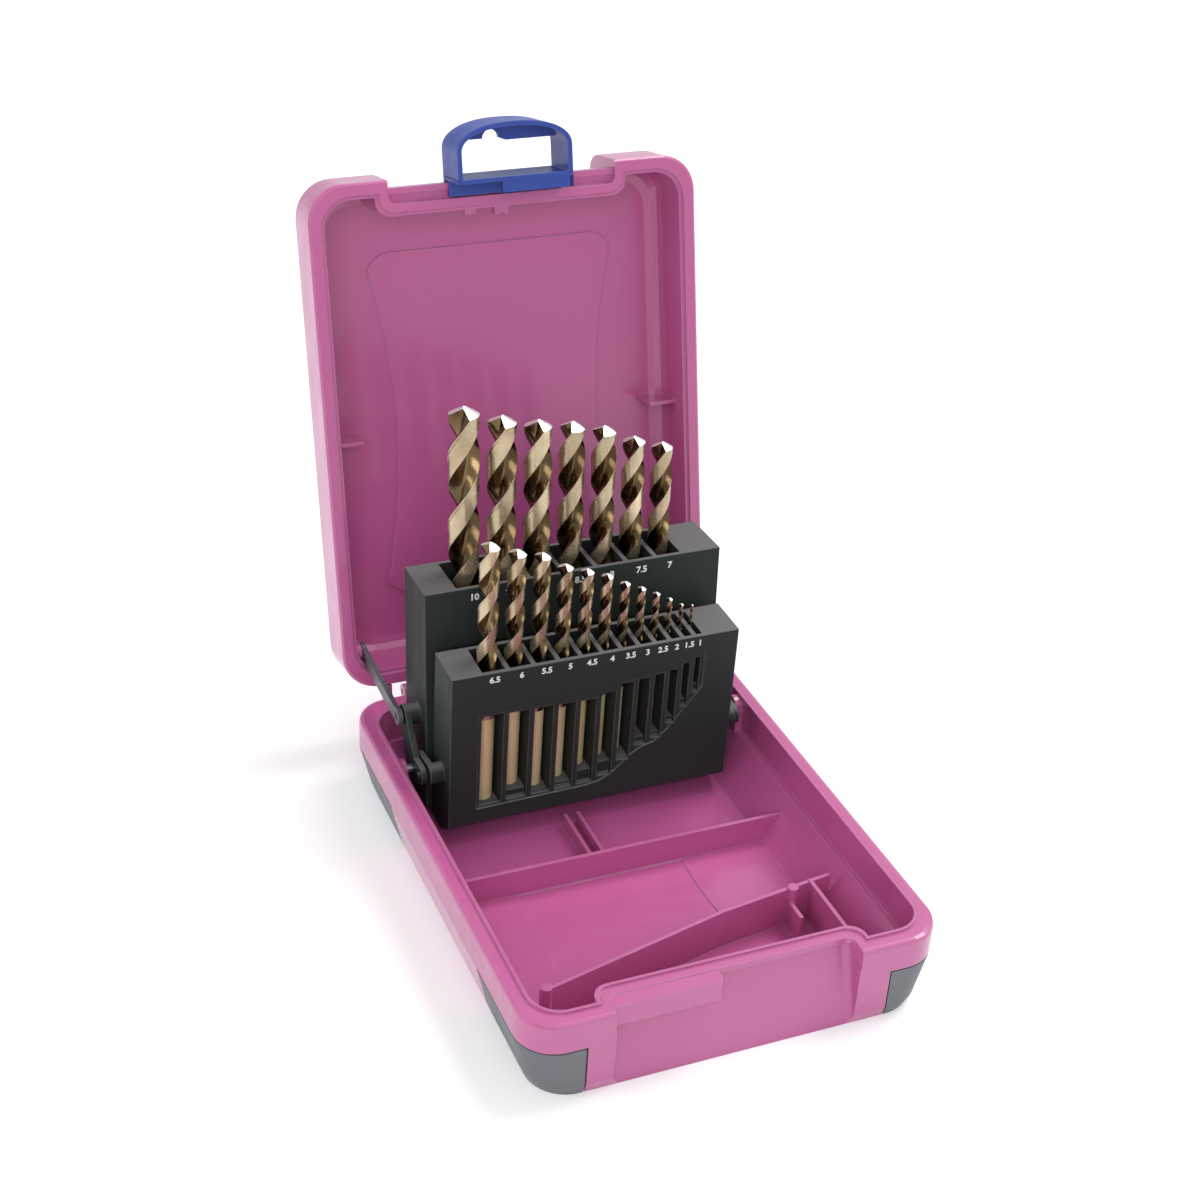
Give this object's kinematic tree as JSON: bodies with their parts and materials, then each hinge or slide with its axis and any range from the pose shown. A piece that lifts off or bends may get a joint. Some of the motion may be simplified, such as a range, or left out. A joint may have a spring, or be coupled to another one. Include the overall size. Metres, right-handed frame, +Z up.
{
  "type": "drill bit case",
  "caption": "Hinged plastic drill bit case: two racks of twist drills rise with the lid, and a sliding latch with a hanging loop hooks under the front block.",
  "frame": {"origin": "centre of the underside of the base", "axes": "+Z up, +X to the right seen from the front, +Y from the front with the latch to the back with the hinge"},
  "size_m": [0.13, 0.2264, 0.2073],
  "materials": {
    "case_pink": "satin, injection moulded",
    "corner_grey": "satin",
    "latch_blue": "satin",
    "rack_black": "satin",
    "link_grey": "satin",
    "pin_steel": "drawn wire",
    "drill_bronze": "straw bronze tint, ground flutes"
  },
  "bodies": {
    "base": {"base_tray": "case_pink", "guard_front_left": "corner_grey", "guard_front_right": "corner_grey", "guard_rear_left": "corner_grey", "guard_rear_right": "corner_grey", "pivot_pin_left": "pin_steel", "pivot_pin_right": "pin_steel", "hinge_pin_left": "pin_steel", "hinge_pin_right": "pin_steel"},
    "lid": {"lid": "case_pink"},
    "latch": {"latch": "latch_blue"},
    "front_rack": {"front_rack": "rack_black"},
    "rear_rack": {"rear_rack": "rack_black"},
    "link_left": {"link_left": "link_grey"},
    "link_right": {"link_right": "link_grey"},
    "drill_10_0": {"drill_10_0": "drill_bronze"},
    "drill_9_5": {"drill_9_5": "drill_bronze"},
    "drill_9_0": {"drill_9_0": "drill_bronze"},
    "drill_8_5": {"drill_8_5": "drill_bronze"},
    "drill_8_0": {"drill_8_0": "drill_bronze"},
    "drill_7_5": {"drill_7_5": "drill_bronze"},
    "drill_7_0": {"drill_7_0": "drill_bronze"},
    "drill_6_5": {"drill_6_5": "drill_bronze"},
    "drill_6_0": {"drill_6_0": "drill_bronze"},
    "drill_5_5": {"drill_5_5": "drill_bronze"},
    "drill_5_0": {"drill_5_0": "drill_bronze"},
    "drill_4_5": {"drill_4_5": "drill_bronze"},
    "drill_4_0": {"drill_4_0": "drill_bronze"},
    "drill_3_5": {"drill_3_5": "drill_bronze"},
    "drill_3_0": {"drill_3_0": "drill_bronze"},
    "drill_2_5": {"drill_2_5": "drill_bronze"},
    "drill_2_0": {"drill_2_0": "drill_bronze"},
    "drill_1_5": {"drill_1_5": "drill_bronze"},
    "drill_1_0": {"drill_1_0": "drill_bronze"}
  },
  "joints": [
    {"name": "lid_hinge", "type": "hinge", "parent": "base", "child": "lid", "pos_m": [0, 0.0853, 0.0265], "axis": [-1, 0, 0], "range_deg": [-102.9, 0]},
    {"name": "rear_rack_tilt", "type": "hinge", "parent": "base", "child": "rear_rack", "pos_m": [0, 0.0473, 0.0237], "axis": [-1, 0, 0], "range_deg": [-93, 0]},
    {"name": "front_rack_tilt", "type": "hinge", "parent": "base", "child": "front_rack", "pos_m": [0, 0.0473, 0.0237], "axis": [-1, 0, 0], "range_deg": [-89, 0]},
    {"name": "link_left_pivot", "type": "hinge", "parent": "rear_rack", "child": "link_left", "pos_m": [0, 0.05698, 0.03768], "axis": [-1, 0, 0], "range_deg": [0, 92.7]},
    {"name": "link_right_pivot", "type": "hinge", "parent": "rear_rack", "child": "link_right", "pos_m": [0, 0.05698, 0.03768], "axis": [-1, 0, 0], "range_deg": [0, 92.7]},
    {"name": "latch_slide", "type": "slide", "parent": "lid", "child": "latch", "axis": [1, 0, 0], "range_m": [-0.0175, 0.0155]},
    {"name": "drill_10_0_lift", "type": "slide", "parent": "rear_rack", "child": "drill_10_0", "axis": [0, 0.0523, 0.9986], "range_m": [0, 0.0812]},
    {"name": "drill_9_5_lift", "type": "slide", "parent": "rear_rack", "child": "drill_9_5", "axis": [0, 0.0523, 0.9986], "range_m": [0, 0.0778]},
    {"name": "drill_9_0_lift", "type": "slide", "parent": "rear_rack", "child": "drill_9_0", "axis": [0, 0.0523, 0.9986], "range_m": [0, 0.0808]},
    {"name": "drill_8_5_lift", "type": "slide", "parent": "rear_rack", "child": "drill_8_5", "axis": [0, 0.0523, 0.9986], "range_m": [0, 0.075]},
    {"name": "drill_8_0_lift", "type": "slide", "parent": "rear_rack", "child": "drill_8_0", "axis": [0, 0.0523, 0.9986], "range_m": [0, 0.078]},
    {"name": "drill_7_5_lift", "type": "slide", "parent": "rear_rack", "child": "drill_7_5", "axis": [0, 0.0523, 0.9986], "range_m": [0, 0.075]},
    {"name": "drill_7_0_lift", "type": "slide", "parent": "rear_rack", "child": "drill_7_0", "axis": [0, 0.0523, 0.9986], "range_m": [0, 0.0784]},
    {"name": "drill_6_5_lift", "type": "slide", "parent": "front_rack", "child": "drill_6_5", "axis": [0, -0.0175, 0.9998], "range_m": [0, 0.064]},
    {"name": "drill_6_0_lift", "type": "slide", "parent": "front_rack", "child": "drill_6_0", "axis": [0, -0.0175, 0.9998], "range_m": [0, 0.06]},
    {"name": "drill_5_5_lift", "type": "slide", "parent": "front_rack", "child": "drill_5_5", "axis": [0, -0.0175, 0.9998], "range_m": [0, 0.0626]},
    {"name": "drill_5_0_lift", "type": "slide", "parent": "front_rack", "child": "drill_5_0", "axis": [0, -0.0175, 0.9998], "range_m": [0, 0.061]},
    {"name": "drill_4_5_lift", "type": "slide", "parent": "front_rack", "child": "drill_4_5", "axis": [0, -0.0175, 0.9998], "range_m": [0, 0.058]},
    {"name": "drill_4_0_lift", "type": "slide", "parent": "front_rack", "child": "drill_4_0", "axis": [0, -0.0175, 0.9998], "range_m": [0, 0.056]},
    {"name": "drill_3_5_lift", "type": "slide", "parent": "front_rack", "child": "drill_3_5", "axis": [0, -0.0175, 0.9998], "range_m": [0, 0.055]},
    {"name": "drill_3_0_lift", "type": "slide", "parent": "front_rack", "child": "drill_3_0", "axis": [0, -0.0175, 0.9998], "range_m": [0, 0.049]},
    {"name": "drill_2_5_lift", "type": "slide", "parent": "front_rack", "child": "drill_2_5", "axis": [0, -0.0175, 0.9998], "range_m": [0, 0.048]},
    {"name": "drill_2_0_lift", "type": "slide", "parent": "front_rack", "child": "drill_2_0", "axis": [0, -0.0175, 0.9998], "range_m": [0, 0.043]},
    {"name": "drill_1_5_lift", "type": "slide", "parent": "front_rack", "child": "drill_1_5", "axis": [0, -0.0175, 0.9998], "range_m": [0, 0.037]},
    {"name": "drill_1_0_lift", "type": "slide", "parent": "front_rack", "child": "drill_1_0", "axis": [0, -0.0175, 0.9998], "range_m": [0, 0.032]}
  ],
  "couplings": [
    {"joint": "rear_rack_tilt", "follows": "lid_hinge", "ratio": 0.90379},
    {"joint": "front_rack_tilt", "follows": "lid_hinge", "ratio": 0.86492},
    {"joint": "link_left_pivot", "follows": "lid_hinge", "ratio": -0.90084},
    {"joint": "link_right_pivot", "follows": "lid_hinge", "ratio": -0.90084}
  ]
}
